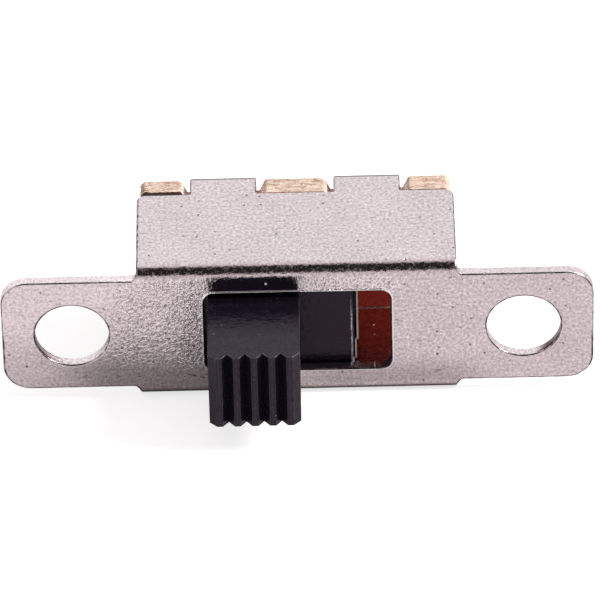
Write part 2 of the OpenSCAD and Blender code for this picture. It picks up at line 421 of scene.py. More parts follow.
# %% Pressing a blank
def press(name, cuts, thickness, columns, rows, gap, place=lambda u, v, w: (u, w, v)):
    """A flat blank from cuts, a list of (outline, section). A section's stations are
    (inset, depth, cut, wander): how far in and down, how freshly cut, and how rough."""
    rings = []
    for number, (outline, section) in enumerate(cuts):
        normal = inward(outline)
        for level, (inset, depth, cut, wander) in enumerate(section):
            shake = np.array([noise.noise(Vector((u * 4.5, v * 4.5, level * 0.37 + number * 9.1)))
                              + 0.6 * noise.noise(Vector((u * 13.0, v * 13.0, level * 0.9 + 5)))
                              for u, v in outline])
            reach = inset + wander * np.clip(0.5 + 0.5 * shake, 0, None)
            rings.append((number, outline + normal * reach[:, None], depth, cut))
    starts = [int(n) for n in np.cumsum([0] + [len(ring[1]) for ring in rings])]
    faces = []
    for i, (number, ring, _, _) in enumerate(rings[:-1]):
        if rings[i + 1][0] == number:
            a, b, count = starts[i], starts[i + 1], len(ring)
            faces += [(a + k, a + (k + 1) % count, b + (k + 1) % count, b + k)
                      for k in range(count)]
    layers = [ring[1:] for ring in rings]
    total = starts[-1]
    grid = np.array([(u, v) for u in columns for v in rows])
    for side, depth in ((0, 0.0), (-1, thickness)):
        ends = [[i for i, ring in enumerate(rings) if ring[0] == number][side]
                for number in range(len(cuts))]
        extra, triangles = fill([rings[i][1] for i in ends], grid, gap)
        lookup = [starts[i] + k for i in ends for k in range(len(rings[i][1]))]
        lookup += [total + k for k in range(len(extra))]
        faces += [tuple(lookup[k] for k in triangle) for triangle in triangles]
        layers.append((extra, depth, 0.0))
        total += len(extra)
    mesh = bpy.data.meshes.new(name)
    mesh.from_pydata([Vector(place(u, v, depth)) * MM for points, depth, _ in layers
                      for u, v in points], [], faces)
    mark(mesh, "cut", "POINT", np.concatenate([np.full(len(points), cut)
                                               for points, _, cut in layers]))
    return face_out(mesh)


def mark(mesh, name, domain, values):
    """Stores a number on each point, edge or face of a mesh."""
    marks = mesh.attributes.get(name) or mesh.attributes.new(name, "FLOAT", domain)
    marks.data.foreach_set("value", np.array(values, np.float32))


def face_out(mesh, weld=0.0):
    """Welds a closed shell if asked, and turns its faces outwards."""
    shell = bmesh.new()
    shell.from_mesh(mesh)
    if weld:
        bmesh.ops.remove_doubles(shell, verts=shell.verts, dist=weld)
    bmesh.ops.recalc_face_normals(shell, faces=shell.faces)
    open_edges = sum(not e.is_manifold for e in shell.edges)
    size = shell.calc_volume(signed=True) / MM ** 3
    for face in shell.faces:
        face.smooth = True
    shell.to_mesh(mesh)
    shell.free()
    print(f"{mesh.name}: {len(mesh.polygons)} faces, {size:.2f} mm3, {open_edges} open edges")
    return mesh


# %% [markdown]
# ## The frame's blank
#
# The frame is one piece of nickel-plated sheet steel. Before it is folded it is
# a flat cross: the front plate with its two ears in the middle, a wall above
# and below it, and two small tabs on the end of each wall. The blank is drawn
# flat with its holes, so that every cut edge has its proper section, and it is
# folded in the next step. Where the sheet will bend the grid has narrow rows,
# because a bend is only as smooth as its rows are close. The window was punched
# from behind, so its burr stands up on the front as a lip, which the finish
# paints paler as a highlight, and its cut wall narrows a little on the way in.

# %% Sizes of the blank
SHEET = 0.35
FOLD_INSIDE = 0.10
HOLE_X, HOLE_R = 7.5, 1.225
EAR_TOP, EAR_R = 2.2, 0.9
WALL_X, WALL_R = 5.3, 0.3
WINDOW = (3.125, 1.635, 0.38)
TAB_X, TAB_HALF, TAB_R, TAB_REACH = 2.4, 1.115, 0.3, 0.85
ROOT_R, TAB_ROOT_R = 0.23, 0.05

fold_outside = FOLD_INSIDE + SHEET
fold_line = frame_hi[2] - fold_outside
fold_length = math.pi / 2 * (FOLD_INSIDE + SHEET / 2)
tab_fold_y = board_hi[1] - FOLD_INSIDE
wall_start = fold_line + fold_length
wall_end = wall_start + board_lo[1] - fold_outside
tab_fold = wall_start + tab_fold_y - fold_outside
tab_start = tab_fold + fold_length
tab_end = tab_start + TAB_REACH
print("blank is", round(2 * tab_end, 2), "mm tall before folding")

# %% The blank's grid and cuts
def stations(start, end, spacing):
    """Evenly spaced values from start, without the end itself."""
    count = max(1, round((end - start) / spacing))
    return list(np.linspace(start, end, count + 1))[:-1]


upper_rows = (stations(0, fold_line, 0.16) + stations(fold_line, wall_start, 0.036)
              + stations(wall_start, tab_fold, 0.18) + stations(tab_fold, tab_start, 0.036)
              + stations(tab_start, tab_end, 0.16) + [tab_end])
frame_rows = sorted({round(s * v, 6) for v in upper_rows for s in (-1, 1)})
frame_columns = [round(u, 6) for u in np.arange(-9.6, 9.61, 0.16)]


def all_round(quarter):
    """A whole outline from the corners of its upper right quarter."""
    half = quarter + [(-u, v, r) for u, v, r in reversed(quarter)]
    return half + [(-u, -v, r) for u, v, r in half]


blank_outline = round_corners(all_round([
    (frame_hi[0], EAR_TOP, EAR_R), (WALL_X, EAR_TOP, ROOT_R), (WALL_X, wall_end, WALL_R),
    (TAB_X + TAB_HALF, wall_end, TAB_ROOT_R), (TAB_X + TAB_HALF, tab_end, TAB_R),
    (TAB_X - TAB_HALF, tab_end, TAB_R), (TAB_X - TAB_HALF, wall_end, TAB_ROOT_R),
]), frame_columns, frame_rows)
window = round_corners(rectangle(0, 0, *WINDOW), frame_columns, frame_rows, turn=8)
holes = [round_hole(x, 0, HOLE_R) for x in (HOLE_X, -HOLE_X)]

SHEARED = [(0.09, 0, 0, 0), (0.06, 0.002, 0.12, 0.003), (0.04, 0.007, 0.42, 0.006),
           (0.018, 0.02, 0.5, 0.008), (0.004, 0.045, 0.72, 0.006), (0, 0.085, 1, 0.004),
           (0, 0.2, 1, 0.005), (0.003, 0.24, 1, 0.012), (0.003, 0.33, 1, 0.01),
           (0.004, 0.352, 0.8, 0.006), (0.014, 0.358, 0.5, 0.004), (0.034, 0.354, 0.2, 0.003),
           (0.06, 0.35, 0, 0.003), (0.085, 0.35, 0, 0)]
BURRED = [(0.11, 0, 0, 0), (0.07, 0.001, 0, 0.004), (0.05, -0.006, 0, 0.006),
          (0.04, -0.02, -1, 0.006), (0.018, -0.027, -1, 0.005), (0.008, -0.022, 0.5, 0.004),
          (-0.01, -0.006, 0.5, 0.003), (-0.018, 0.03, 0.9, 0.003), (-0.042, 0.18, 1, 0.004),
          (-0.046, 0.27, 1, 0.005), (-0.036, 0.325, 0.8, 0.004), (-0.012, 0.345, 0.3, 0.002),
          (0.02, 0.35, 0, 0)]
blank = press("frame_sheet", [(blank_outline, SHEARED), (window, BURRED)]
              + [(hole, SHEARED) for hole in holes], SHEET, frame_columns, frame_rows, gap=0.07)

# %% [markdown]
# ## Folding the blank
#
# Folding follows a rule, so Geometry Nodes do it. Each point of the blank knows
# its height above the plate's middle and its depth in the sheet. Up to the fold
# line it stays where it is. Past it, it swings round the fold by an angle that
# grows with the length of sheet used up, and past the fold it runs straight
# back. The tabs do the same again at the walls' end. The lower half is the
# mirror image, which the sign of the height takes care of. The tree also gives
# the sheet the faint unevenness that pressing leaves, which is what makes
# reflections in it waver. It stores two marks for the finish to read: `bend`,
# how far along its bend a point is, and `flat`, where the point lay before the
# sheet was folded.

# %% A place for geometry trees
class Shape(Graph):
    """A Geometry Nodes tree with named inputs, grown on a mesh and turned into a plain one."""

    def __init__(self, name):
        super().__init__(bpy.data.node_groups.new(name, "GeometryNodeTree"))
        for side in ("INPUT", "OUTPUT"):
            self.tree.interface.new_socket("Geometry", in_out=side,
                                           socket_type="NodeSocketGeometry")
        self.start = self.node("NodeGroupInput").socket.node
        self.geometry = Wire(self, self.start.outputs["Geometry"])
        self.values = {}

    def input(self, name, value, kind="Float"):
        """A named input of the tree, with the value that the modifier will give it."""
        item = self.tree.interface.new_socket(name, in_out="INPUT", socket_type="NodeSocket" + kind)
        self.values[item.identifier] = value
        return Wire(self, self.start.outputs[name])

    def store(self, geometry, name, value, kind="FLOAT"):
        """Writes a value on every point, for the finish to read."""
        return self.node("GeometryNodeStoreNamedAttribute", {"data_type": kind, "domain": "POINT"},
                         {"Geometry": geometry, "Name": name, "Value": value})

    def end(self, geometry, material):
        """Realizes what was instanced, sets its material and ends the tree."""
        real = self.node("GeometryNodeRealizeInstances", None, {0: geometry})
        done = self.node("GeometryNodeSetMaterial", None, {"Geometry": real, "Material": material})
        self.node("NodeGroupOutput", None, {0: done})

    def grow(self, mesh):
        """Runs the tree on a mesh and returns the result as a plain mesh object."""
        thing = add(mesh.name, mesh)
        modifier = thing.modifiers.new(self.tree.name, "NODES")
        modifier.node_group = self.tree
        for identifier, value in self.values.items():
            modifier[identifier] = value
        return settle(thing)


def settle(thing):
    """Turns an object and its modifiers into a plain mesh."""
    raw = thing.data
    result = bpy.data.meshes.new_from_object(
        thing.evaluated_get(bpy.context.evaluated_depsgraph_get()))
    thing.modifiers.clear()
    thing.data = result
    bpy.data.meshes.remove(raw)
    result.name = thing.name
    return thing


nickel, nickel_graph = material("nickel_plate")

# %% The folding tree
tree = Shape("fold_the_blank")
line = tree.input("Fold line", fold_line * MM)
length = tree.input("Length of a fold", fold_length * MM)
radius = tree.input("Outside radius", fold_outside * MM)
run = tree.input("Wall's straight run", (tab_fold_y - fold_outside) * MM)
wobble = tree.input("Unevenness", 0.007 * MM)
seed = tree.input("Seed", 3.0)

x, y, z = tree.split(tree.node("GeometryNodeInputPosition"))
uneven = tree.noise(tree.vector(x, seed * MM, z) * (1 / MM), 0.75, 1.5)
depth = y + uneven * wobble
height = abs(z)
QUARTER = math.pi / 2
past_line = (height - line).high(0)
swing = (past_line / length).low(1) * QUARTER
back_run = (past_line - length).high(0)
tab_swing = ((back_run - run).high(0) / length).low(1) * QUARTER
drop = (back_run - run - length).high(0)
arm = radius - depth
new_y = (radius - arm * tree.math("COSINE", swing) + back_run.low(run)
         + arm * tree.math("SINE", tab_swing))
new_z = (height.low(line) + arm * tree.math("SINE", swing) * tree.math("COSINE", tab_swing)
         - drop) * tree.math("SIGN", z)
worked = swing * (QUARTER - swing) + tab_swing * (QUARTER - tab_swing)
marked = tree.store(tree.geometry, "bend", worked * (4 / QUARTER ** 2))  # 1 half way round
marked = tree.store(marked, "flat", tree.vector(x, z, y) * (1 / MM), "FLOAT_VECTOR")
folded = tree.node("GeometryNodeSetPosition", None,
                   {"Geometry": marked, "Position": tree.vector(x, new_y, new_z)})
tree.end(folded, nickel)
frame_sheet = tree.grow(blank)
print_size(frame_sheet)

# %% [markdown]
# ## The terminal board
#
# The board is a slice of paper laminate. Its six teeth pass the folded walls,
# and the tabs are bent over it between them. Each notch rises to a seat in its
# middle that closes the gap under the tab, and is a little deeper on both sides.
# Laminate doesn't shear like steel: its layers of paper tear at slightly
# different places. So its edge section is made of many thin stations, each set
# in by its own small amount.

# %% Cut the board
BOARD_HALF, BOARD_CHAMFER = 5.2, 0.15
NOTCH_ROOT, NOTCH_MOUTH, NOTCH_Z = 1.19, 1.39, 2.190
SEAT_HALF, SEAT_Z, SEAT_SLOPE = 1.10, 2.300, 0.06
SLOT = (0.52, 0.22, 0.06)
PIN_PITCH = 3.0

board_t = board_hi[1] - board_lo[1]
top = board_hi[2]
corners = [(BOARD_HALF, top - BOARD_CHAMFER, 0.12), (BOARD_HALF - BOARD_CHAMFER, top, 0.12)]
notch = [(NOTCH_MOUTH, top, 0.14), (NOTCH_ROOT, NOTCH_Z, 0.03), (SEAT_HALF, NOTCH_Z, 0.03),
         (SEAT_HALF - SEAT_SLOPE, SEAT_Z, 0.09)]
corners += [(TAB_X + u, v, r) for u, v, r in notch]
corners += [(TAB_X - u, v, r) for u, v, r in reversed(notch)]
fine = np.arange(-5.4, 5.41, 0.06)
board_outline = round_corners(all_round(corners), fine, fine, turn=20)

layers = np.random.default_rng(11)
torn = [(0.05, 0, 0, 0), (0.034, 0.002, 0.6, 0.006), (0.018, 0.012, 0.9, 0.016)]
torn += [(0.004 + 0.012 * layers.random(), depth, 1, 0.026)
         for depth in np.linspace(0.035, board_t - 0.035, 16)]
torn += [(0.02, board_t - 0.02, 0.6, 0.016), (0.038, board_t - 0.004, 0.1, 0.006),
         (0.056, board_t, 0, 0)]
clean = [(0.035, 0, 0, 0), (0.01, 0.01, 0.5, 0), (0, 0.04, 1, 0)]
clean += [(inset, board_t - depth, fresh, 0) for inset, depth, fresh, _ in reversed(clean)]
slots = [round_corners(rectangle(x, 0, *SLOT), turn=30) for x in (-PIN_PITCH, 0, PIN_PITCH)]
board_grid = np.arange(-5.1, 5.11, 0.3)
board_mesh = press("terminal_board_laminate", [(board_outline, torn)] + [(s, clean) for s in slots],
                   board_t, board_grid, board_grid, gap=0.05,
                   place=lambda u, v, w: (u, board_lo[1] + w, v))
board_piece = add("terminal_board_laminate", board_mesh)

# %% [markdown]
# ## The terminals
#
# The three terminals are the same flat pressing: a wide blade inside, which the
# sliding clip grips, shoulders that stop against the board, and a narrow solder
# pin outside. A nick is staked up on each side of the pin to hold it. One is
# pressed, and Geometry Nodes set the row out from a count and a pitch.

# %% Press one terminal
terminal_lo, terminal_hi = box_mm("terminal_common")
PIN_T, PIN_HALF, BLADE_HALF = 0.4, 0.5, 0.75
BLADE_CHAMFER, STAKE_OUT, STAKE_H, PIN_TAPER = 0.25, 0.12, 0.25, 0.4
tip_y, end_y = terminal_lo[1], terminal_hi[1]
shoulder_y, back_y = board_lo[1], board_hi[1]
side = [(BLADE_HALF - BLADE_CHAMFER, tip_y, 0.05), (BLADE_HALF, tip_y + BLADE_CHAMFER, 0.05),
        (BLADE_HALF, shoulder_y, 0.05), (PIN_HALF, shoulder_y, 0.02), (PIN_HALF, back_y, 0.02),
        (PIN_HALF + STAKE_OUT, back_y + 0.02, 0.05), (PIN_HALF, back_y + STAKE_H, 0.08),
        (PIN_HALF, end_y - PIN_TAPER, 0.08), (PIN_HALF / 2, end_y, 0.05)]
fine = np.arange(2.0, 9.0, 0.12)
outline = round_corners(side + [(-u, v, r) for u, v, r in reversed(side)], (), fine, turn=20)
STAMPED = [(0.03, 0, 0, 0), (0.022, 0.001, 0, 0), (0.009, 0.006, 0.4, 0.002),
           (0.002, 0.018, 0.8, 0.002), (0, 0.045, 1, 0.002), (0, 0.2, 1, 0.003),
           (0.003, 0.33, 1, 0.006), (0.006, 0.388, 0.7, 0.003), (0.016, 0.399, 0.2, 0),
           (0.026, 0.4, 0, 0)]
terminal_mesh = press("terminals_tinned", [(outline, STAMPED)], PIN_T,
                      np.arange(-0.6, 0.61, 0.15), fine, gap=0.04,
                      place=lambda u, v, w: (u, v, PIN_T / 2 - w))

# %% Set out the row
tin, tin_graph = material("tinned_brass")
tree = Shape("row_of_terminals")
count = tree.input("Count", 3, "Int")
pitch = tree.input("Pitch", PIN_PITCH * MM)
first = (count - 1) * pitch * -0.5
points = tree.node("GeometryNodeMeshLine", {"mode": "OFFSET"},
                   {"Count": count, "Start Location": tree.vector(first, 0, 0),
                    "Offset": tree.vector(pitch, 0, 0)})
row = tree.node("GeometryNodeInstanceOnPoints", None, {"Points": points, "Instance": tree.geometry})
tree.end(row, tin)
terminals = tree.grow(terminal_mesh)
print_size(terminals)

# %% [markdown]
# ## The slider
#
# The slider is one black moulding: a carrier block that runs behind the plate
# and a knob that stands out through the window. The knob's tip has five grip
# ribs, and ribs follow a rule, so Geometry Nodes draw them. The tree counts
# along a line of points, three to a rib: the bottom of a groove, and the two
# edges of a crest. The outer ribs are a little wider, as wear and draft leave
# them. The line is drawn back to the knob's root and then up to its full height.
# The carrier is joined on, two thin fins of moulding flash stand on its end, and
# the pocket for the clip is cut out. A narrow bevel then softens the edges that
# point outwards, and most of all the tip's outline, where fingers rub.

# %% The ribbed knob
RIBS, RIB_DEPTH, RIB_CREST = 5, 0.24, 0.2
KNOB_HALF_H, KNOB_W, OUTER_RIB = 1.425, 3.03, 0.055
KNOB_ROOT = 0.9
slider_x = (slider_lo[0] + slider_hi[0]) / 2
rib_pitch = (KNOB_W - OUTER_RIB * 2) / RIBS

plastic, plastic_graph = material("black_moulding")
tree = Shape("ribbed_knob")
ribs = tree.input("Ribs", RIBS, "Int")
width = tree.input("Width", KNOB_W * MM)
wider = tree.input("Outer ribs wider by", OUTER_RIB * MM)
crest = tree.input("Crest", RIB_CREST * MM)
depth = tree.input("Groove depth", RIB_DEPTH * MM)
high = tree.input("Height", 2 * KNOB_HALF_H * MM)
tip = tree.input("Tip", slider_lo[1] * MM)
root = tree.input("Root", KNOB_ROOT * MM)

index = tree.node("GeometryNodeInputIndex")
rib = tree.math("FLOOR", index / 3)
turn = index - rib * 3
pitch = (width - wider * 2) / ribs
x = rib * pitch - ribs * pitch * 0.5
x = x + turn.low(1) * (pitch - crest) * 0.5 + (turn - 1).high(0) * crest
x = x + ((index > ribs * 3 - 0.5) - (index < 0.5)) * wider
y = tip + depth * (1 - turn.low(1))
line = tree.node("GeometryNodeMeshLine", {"mode": "OFFSET"}, {"Count": ribs * 3 + 1})
zigzag = tree.node("GeometryNodeSetPosition", None,
                   {"Geometry": line, "Position": tree.vector(x, y, high * -0.5)})
# An offset has to be linked in: left as a value, it would mean each edge's normal.
strip = tree.node("GeometryNodeExtrudeMesh", {"mode": "EDGES"},
                  {"Mesh": zigzag, "Offset": tree.vector(0, 1, 0), "Offset Scale": MM})
far = Wire(tree, strip.socket.node.outputs["Top"])
px, _, pz = tree.split(tree.node("GeometryNodeInputPosition"))
floor_face = tree.node("GeometryNodeSetPosition", None,
                       {"Geometry": strip, "Selection": far, "Position": tree.vector(px, root, pz)})
block = tree.node("GeometryNodeExtrudeMesh", {"mode": "FACES"},
                  {"Mesh": floor_face, "Offset": tree.vector(0, 0, 1), "Offset Scale": high,
                   "Individual": False})
underside = tree.node("GeometryNodeFlipFaces", None, {"Mesh": floor_face})
closed = tree.node("GeometryNodeJoinGeometry")
for part in (block, underside):
    tree.tree.links.new(part.socket, closed.socket.node.inputs[0])
welded = tree.node("GeometryNodeMergeByDistance", None, {"Geometry": closed, "Distance": 1e-6})
tree.end(welded, plastic)
knob = tree.grow(bpy.data.meshes.new("knob"))
face_out(knob.data)
print_size(knob)


# %% The carrier and its pocket
def block_mm(name, low, high):
    """A plain box between two corners, in millimetres, for joining and cutting."""
    mesh = bpy.data.meshes.new(name)
    shell = bmesh.new()
    bmesh.ops.create_cube(shell, size=1)
    low, high = Vector(low), Vector(high)
    for vert in shell.verts:
        vert.co = ((low + high) / 2 + vert.co * (high - low)) * MM
    shell.to_mesh(mesh)
    shell.free()
    return add(name, mesh)


def combine(thing, other, operation):
    """Joins or cuts one solid with another, which is then thrown away."""
    modifier = thing.modifiers.new(operation.lower(), "BOOLEAN")
    modifier.operation, modifier.object, modifier.solver = operation, other, "EXACT"
    settle(thing)
    bpy.data.objects.remove(other)


def bevel(thing, weights, width, segments, slot=-1):
    """Bevels each edge by its share of a width, and gives the new faces a slot."""
    mark(thing.data, "bevel_weight_edge", "EDGE", weights)
    modifier = thing.modifiers.new("bevel", "BEVEL")
    modifier.limit_method, modifier.width, modifier.segments = "WEIGHT", width * MM, segments
    modifier.material = slot
    settle(thing)


FRONT_Y, CARRIER_CHAMFER = 0.40, 0.12
carrier_back = slider_hi[1]
half_l, half_h = (slider_hi[0] - slider_lo[0]) / 2, slider_hi[2]
slider = block_mm("slider_moulding", (-half_l, FRONT_Y, -half_h), (half_l, carrier_back, half_h))
ends = [[slider.data.vertices[v].co / MM for v in edge.vertices] for edge in slider.data.edges]
front_corners = [abs(a.z - b.z) > 1 and a.y < 1 for a, b in ends]
bevel(slider, front_corners, CARRIER_CHAMFER, 1)
combine(slider, knob, "UNION")
FIN_T, FIN_STEP, FIN_FOOT = 0.055, -0.76, -1.55
FIN_OUT = (0.135, 0.070)
for out, low, high in ((FIN_OUT[0], FIN_STEP, half_h - 0.1), (FIN_OUT[1], FIN_FOOT, FIN_STEP)):
    end = half_l + out
    web = block_mm("web", (half_l - 0.3, FRONT_Y + 0.7, low), (end, carrier_back, high))
    combine(slider, web, "UNION")
    fin = block_mm("fin", (end - FIN_T, FRONT_Y + 0.08, low), (end, FRONT_Y + 1.0, high))
    combine(slider, fin, "UNION")
POCKET_Y, POCKET_L, POCKET_H, CHANNEL_Y = 1.35, 2.25, 0.65, 2.6
for reach, start in ((POCKET_L, POCKET_Y), (half_l + 1, CHANNEL_Y)):
    hollow = block_mm("hollow", (-reach, start, -POCKET_H), (reach, carrier_back + 1, POCKET_H))
    combine(slider, hollow, "DIFFERENCE")
print("carrier with its pocket has", len(slider.data.polygons), "faces")

# %% Soften the moulding
EDGE_ROUND, INNER_SHARE = 0.085, 0.45
shell = bmesh.new()
shell.from_mesh(slider.data)
bmesh.ops.remove_doubles(shell, verts=shell.verts, dist=1e-7)
bmesh.ops.dissolve_limit(shell, angle_limit=0.01, verts=shell.verts, edges=shell.edges)
for vert in shell.verts:
    vert.co.x += slider_x * MM
bmesh.ops.recalc_face_normals(shell, faces=shell.faces)


def roundness(edge):
    """How much of the bevel an edge gets: most round the tip's outline, none in a groove."""
    if not edge.is_convex or edge.calc_face_angle(0) < 0.4:
        return 0.0
    a, b = (vert.co / MM for vert in edge.verts)
    on_tip = max(a.y, b.y) < slider_lo[1] + RIB_DEPTH + 0.01
    upright = abs(a.z - b.z) > 1
    at_side = abs(a.x - slider_x) > KNOB_W / 2 - 0.01
    return 1.0 if on_tip and (at_side or not upright) else INNER_SHARE


edge_shares = [roundness(edge) for edge in shell.edges]
shell.to_mesh(slider.data)
shell.free()
for slot in range(2):
    slider.data.materials.append(plastic)
bevel(slider, edge_shares, EDGE_ROUND, 3, slot=1)
face_out(slider.data)
rounded = [face.material_index for face in slider.data.polygons]
mark(slider.data, "edge", "FACE", rounded)
slider.data.polygons.foreach_set("use_smooth", [index == 1 for index in rounded])
slider.data.materials.clear()
slider.data.materials.append(plastic)
print_size(slider)

# %% [markdown]
# ## The contact clip
#
# Inside the slider rides a springy clip of silvered bronze. It is a strip bent
# round a path: a closed end, two legs that close on the blades, and lips that
# flare so that it slides on. A thing that follows a path is a job for Geometry
# Nodes as well: the tree rounds the path's corners and sweeps a flat section
# along it.

# %% Bend the clip
silver, silver_graph = material("silvered_bronze")
clip_lo, clip_hi = box_mm("contact_clip")
CLIP_T, CLIP_H, CLIP_BEND = 0.18, 1.2, 0.16
GRIP, CLIP_GAP, LIP_L, LIP_FLARE = 0.4, 0.02, 0.35, 0.16
clip_l = clip_hi[0] - clip_lo[0]
pinch_y, pinch_z = tip_y + GRIP, PIN_T / 2 + CLIP_GAP + CLIP_T / 2
lip_y, lip_z = pinch_y + LIP_L, pinch_z + LIP_FLARE
web_y, web_z = clip_lo[1] + CLIP_T / 2, CLIP_H / 2 - CLIP_T / 2
path_points = [(lip_y, -lip_z), (pinch_y, -pinch_z), (web_y, -web_z), (web_y, web_z),
               (pinch_y, pinch_z), (lip_y, lip_z)]
clip_path = bpy.data.meshes.new("contact_clip_strip")
clip_path.from_pydata([Vector((slider_x, y, z)) * MM for y, z in path_points],
                      [(i, i + 1) for i in range(len(path_points) - 1)], [])

tree = Shape("strip_along_a_path")
strip_width = tree.input("Width", clip_l * MM)
strip_t = tree.input("Thickness", CLIP_T * MM)
bend = tree.input("Bend radius", CLIP_BEND * MM)
line = tree.node("GeometryNodeMeshToCurve", None, {"Mesh": tree.geometry})
line = tree.node("GeometryNodeFilletCurve", {"mode": "POLY"},
                 {"Curve": line, "Count": 8, "Radius": bend, "Limit Radius": True})
section = tree.node("GeometryNodeCurvePrimitiveQuadrilateral", {"mode": "RECTANGLE"},
                    {"Width": strip_width, "Height": strip_t})
section = tree.node("GeometryNodeFilletCurve", {"mode": "POLY"},
                    {"Curve": section, "Count": 3, "Radius": strip_t * 0.2, "Limit Radius": True})
swept = tree.node("GeometryNodeCurveToMesh", None,
                  {"Curve": line, "Profile Curve": section, "Fill Caps": True})
tree.end(swept, silver)
clip = tree.grow(clip_path)
face_out(clip.data, 1e-7)
print_size(clip)

# %% [markdown]
# ## Nickel-plated steel
#
# The frame is pressed from pre-plated strip. Its skin is bright but not smooth:
# it has a fine grain from rolling, a coarser orange-peel where the metal was
# worked, small dark pits and a few scuffs. Almost all of what shows is
# reflection, so the bump matters more than the colour. It tilts the reflected
# room a little at every grain and breaks the edge of every reflection.
#
# The patterns lie on the sheet's own `flat` coordinates, in millimetres, so
# they bend with it: u runs along the slide, v up from the plate's middle and on
# over the folds, and w is the depth in the sheet. Where a kind of mark lies is
# a mask from 0 to 1, made of bands along u and v. The fold's skin is crazed,
# and it is painted darker in the middle of each fold and, darker and warmer, in
# the band that mirrors the dark wedge, as shade. The plate is leathery beside
# and above the window, where its paler ridges and darker creases are painted
# highlights and shade as well as bumps. Painted shade darkens the plate low down
# and left of the window, runs along the tabs' folds and the lower fold, and lies
# at the walls' ends and on the right hole's lower wall; painted light brightens
# the plate's upper left. Most cut edges are outlined by a broken dark line,
# widened by painted shade on the side that faces down.

# %% Shared marks for finishes
def millimetres(graph):
    """The object's own coordinates, in millimetres."""
    return graph.node("ShaderNodeTexCoord", None, None, "Object") * (1 / MM)


def attribute(graph, name, out="Fac"):
    return graph.node("ShaderNodeAttribute", {"attribute_name": name}, None, out)


def specks(graph, place, per_mm, radius, share, axes="3D"):
    """Sparse round specks: 1 inside a speck, 0 outside."""
    cells = graph.node("ShaderNodeTexVoronoi", {"feature": "F1", "voronoi_dimensions": axes},
                       {"Vector": place, "Scale": per_mm})
    tint = graph.split(Wire(graph, cells.socket.node.outputs["Color"]))
    size = radius * per_mm
    return (1 - graph.step(cells, size * 0.5, size)) * (tint[0] > 1 - share) * (0.4 + tint[1] * 0.6)


def hairlines(graph, place, scale, width, stretch=None):
    """Thin wandering lines, where a stretched noise crosses its middle."""
    return 1 - graph.step(abs(graph.noise(place, scale, 1.0, 0.5, stretch) - 0.5), 0.0, width)


def spot(graph, du, dv, inner, outer):
    """1 within the inner radius of a point, and 0 past the outer one."""
    return 1 - graph.step(du * du + dv * dv, inner ** 2, outer ** 2)


def bumps(graph, height, depth):
    """A bump whose height of one stands for a depth in millimetres."""
    return graph.node("ShaderNodeBump", None,
                      {"Strength": 1.0, "Distance": depth * MM, "Height": height})


def dress(graph, **sockets):
    """Ends a material in a Principled shader."""
    shader = graph.node("ShaderNodeBsdfPrincipled", None,
                        {name.replace("_", " "): value for name, value in sockets.items()})
    graph.node("ShaderNodeOutputMaterial", None, {"Surface": shader})
    print("a finish of", len(graph.tree.nodes), "nodes")


# %% Nickel: its grain, where it was worked, and where light and shade are painted
g = nickel_graph
p = attribute(g, "flat", "Vector")
u, v, w = g.split(p)
aside, tall = abs(u), abs(v)
grain = g.noise(p, 10.0, 3.0, 0.7)
peel = g.noise(p, 6.0, 2.0, 0.55, (1.25, 0.85, 1.0))
rolled = g.noise(p, 1.0, 3.0, 0.6, (0.9, 9.0, 9.0))
cloud = g.noise(p, 0.55, 2.0, 0.5)
plate = 1 - g.step(tall, 2.1, 2.3)
worked = g.band(tall, 2.0, 2.3, 2.6, 3.0)
# The band of each fold that mirrors the dark wedge, painted darker and warmer as shade.
fold_band_shade = g.band(tall, 2.22, 2.34, 2.47, 2.60)
# flanks, header: where the plate is leathery. Then, left of the window, painted shade and a
# stronger crinkle; painted shade low on the plate; and painted light on its upper left.
flanks = g.band(aside, 2.4, 3.6, 5.4, 7.2) * g.step(v, -1.9, -0.7) * (1 - (u > 0) * 0.85)
header = g.step(v, 1.4, 1.7) * g.band(u, -0.25, 0.35, 3.0, 4.0) * 0.8
pressed = flanks.high(header) * plate
beside_crinkle_and_shade = g.band(aside, 3.0, 3.2, 3.3, 4.4) * (u < 0) * (1 - g.step(tall, 1.3, 2.0))
painted_shade_low = (1 - g.step(v, -2.0, -0.9)) * g.band(u, -1.0, 1.5, 5.0, 6.5) * plate
painted_light_left = g.step(v, -1.5, 0.6) * g.step(0 - u, 1.5, 3.0) * plate

# %% Nickel: ridges and creases with painted highlights and shade, pits, scuffs and a painted glint
web = g.node("ShaderNodeTexVoronoi", {"feature": "DISTANCE_TO_EDGE", "voronoi_dimensions": "2D"},
             {"Vector": p + g.noise(p, 7.0, 1.0) * 0.14, "Scale": 6.2})
broken = g.step(g.noise(p, 8.0, 1.0), 0.36, 0.56)
# Ridges are painted paler and creases darker, as highlights and shade of the crinkle, on top of
# their bump.
ridges_and_highlights = (1 - g.step(web, 0.02, 0.17)) * broken
creases_and_shade = hairlines(g, p, 6.6, 0.045, (1.0, 1.0, 1.4)) * (1 - ridges_and_highlights)
pits = specks(g, p + grain * 0.05, 1.9, 0.052, 0.22, "2D")
nicks = hairlines(g, p, 3.0, 0.02, (0.6, 1.5, 1.0)) * plate
nicks = nicks * g.step(g.noise(p, 1.6, 1.0), 0.63, 0.67)
flecks = g.step(g.noise(p, 11.0, 2.0, 0.65, (0.6, 1.4, 1.0)), 0.50, 0.62) * worked
# A white dust speck and short white rays above the window, painted as a glint in the knob's mirror.
dust_speck_glint = spot(g, u + 1.02, v - 1.99, 0.0245, 0.0548)
glint_hairs = (hairlines(g, g.vector((u + v) * 6.0, (u - v) * 1.6, 0.0), 1.0, 0.10)
         * spot(g, u - 0.30, v - 1.93, 0.173, 0.346))
slant = v + 1.80 + (u + 3.4) * 0.25 + (grain - 0.5) * 0.10
gouge = (abs(slant) < 0.022) * (abs(u + 3.4) < 0.30) * broken

# %% Nickel: dark lines along its edges, and painted shade in its folds and gaps
cut = attribute(g, "cut")
# The window's burr lip, whose colour further down is a painted highlight.
burr_lip_highlight = g.step(0 - cut, 0.2, 0.8)
